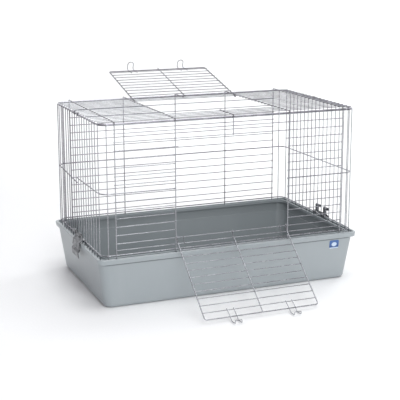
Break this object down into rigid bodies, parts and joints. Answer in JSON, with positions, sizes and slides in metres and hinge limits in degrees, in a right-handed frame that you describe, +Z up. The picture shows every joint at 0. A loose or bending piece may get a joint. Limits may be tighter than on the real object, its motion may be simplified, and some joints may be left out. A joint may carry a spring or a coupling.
{
  "type": "wire rabbit cage",
  "caption": "Rectangular small-pet cage: plastic tub, lift-off wire top, ramp door in the front, roof door and two snap clips.",
  "frame": {"origin": "centre of the tub's footprint, on the floor", "axes": "+X to the right along the cage's length as seen from the ramp door, +Y to the back, +Z up"},
  "size_m": [0.8028, 0.8683, 0.599],
  "materials": {
    "tub_plastic": "moulded polypropylene, blue-grey, semi-gloss",
    "badge_plastic": "printed film label, plain blue",
    "wire_zinc": "bright zinc-plated drawn steel wire, spot welded",
    "clip_steel": "bent zinc-plated sheet steel"
  },
  "bodies": {
    "tub": {"tub": "tub_plastic", "badge": "badge_plastic"},
    "wire_top": {"front_uprights": "wire_zinc", "front_rows_left": "wire_zinc", "front_rows_right": "wire_zinc", "front_door_stops": "wire_zinc", "front_rows_over_door": "wire_zinc", "front_rows_under_door": "wire_zinc", "front_end_bars_left": "wire_zinc", "front_end_bars_right": "wire_zinc", "front_wraps": "wire_zinc", "back_uprights": "wire_zinc", "back_rows": "wire_zinc", "back_end_bars_left": "wire_zinc", "back_end_bars_right": "wire_zinc", "back_wraps": "wire_zinc", "top_frame": "wire_zinc", "top_cross_wires": "wire_zinc", "top_rows_front": "wire_zinc", "top_rows_left": "wire_zinc", "top_rows_right": "wire_zinc", "top_rows_back": "wire_zinc", "top_hooks": "wire_zinc"},
    "front_door": {"front_door_frame": "wire_zinc", "front_door_rows": "wire_zinc", "front_door_middle_wire": "wire_zinc", "front_door_hinge_hooks": "wire_zinc", "front_door_latch_left": "wire_zinc", "front_door_latch_right": "wire_zinc"},
    "top_door": {"top_door_frame": "wire_zinc", "top_door_rows": "wire_zinc", "top_door_middle_wire": "wire_zinc", "top_door_loop_left": "wire_zinc", "top_door_loop_right": "wire_zinc"},
    "left_clip": {"left_clip": "clip_steel"},
    "right_clip": {"right_clip": "clip_steel"}
  },
  "joints": [
    {"name": "wire_top_lift", "type": "slide", "parent": "tub", "child": "wire_top", "axis": [0, 0, 1], "range_m": [0, 0.15]},
    {"name": "front_door_hinge", "type": "hinge", "parent": "wire_top", "child": "front_door", "pos_m": [0, -0.22315, 0.1816], "axis": [-1, 0, 0], "range_deg": [0, 129.1]},
    {"name": "top_door_hinge", "type": "hinge", "parent": "wire_top", "child": "top_door", "pos_m": [0, 0.13359, 0.50955], "axis": [1, 0, 0], "range_deg": [0, 166.1]},
    {"name": "left_clip_hinge", "type": "hinge", "parent": "wire_top", "child": "left_clip", "pos_m": [-0.37925, 0, 0.15], "axis": [0, 1, 0], "range_deg": [-7.5, 10]},
    {"name": "right_clip_hinge", "type": "hinge", "parent": "wire_top", "child": "right_clip", "pos_m": [0.37925, 0, 0.15], "axis": [0, -1, 0], "range_deg": [-7.5, 10]}
  ]
}
